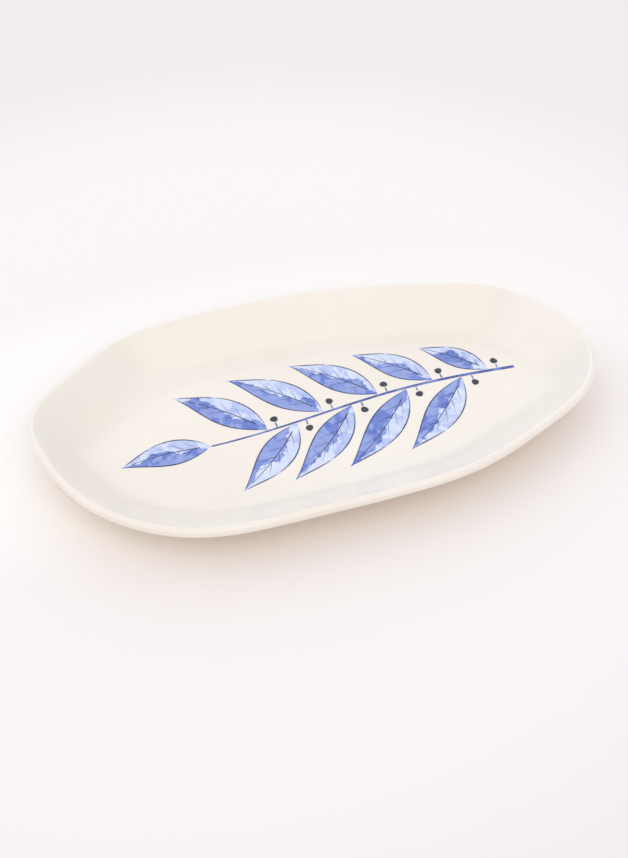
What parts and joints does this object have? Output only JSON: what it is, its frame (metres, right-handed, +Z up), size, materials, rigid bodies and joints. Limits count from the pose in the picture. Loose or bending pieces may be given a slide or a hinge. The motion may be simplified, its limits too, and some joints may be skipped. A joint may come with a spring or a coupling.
{
  "type": "oval platter",
  "caption": "Egg-shaped oval coupe platter in cream-glazed stoneware with a rolled lip, a bare foot ring and a painted blue leaf sprig, for serving food.",
  "frame": {"origin": "on the table, under the middle of the platter's overall length and width", "axes": "+X along the length, from the broad end to the slim end; +Y to the far long side in the picture; +Z up"},
  "size_m": [0.406, 0.209, 0.0355],
  "materials": {
    "clay": "matte",
    "glaze": "gloss",
    "pale_wash": "gloss",
    "deep_wash": "gloss",
    "stem_wash": "gloss",
    "ink": "gloss"
  },
  "bodies": {
    "root": {"clay_body": "clay", "foot_ring": "clay", "inner_glaze": "glaze", "outer_glaze": "glaze", "base_glaze": "glaze", "leaf_washes": "pale_wash", "leaf_shades": "deep_wash", "stem_strokes": "stem_wash", "berry_spots": "ink", "ink_lines": "ink"}
  },
  "joints": []
}
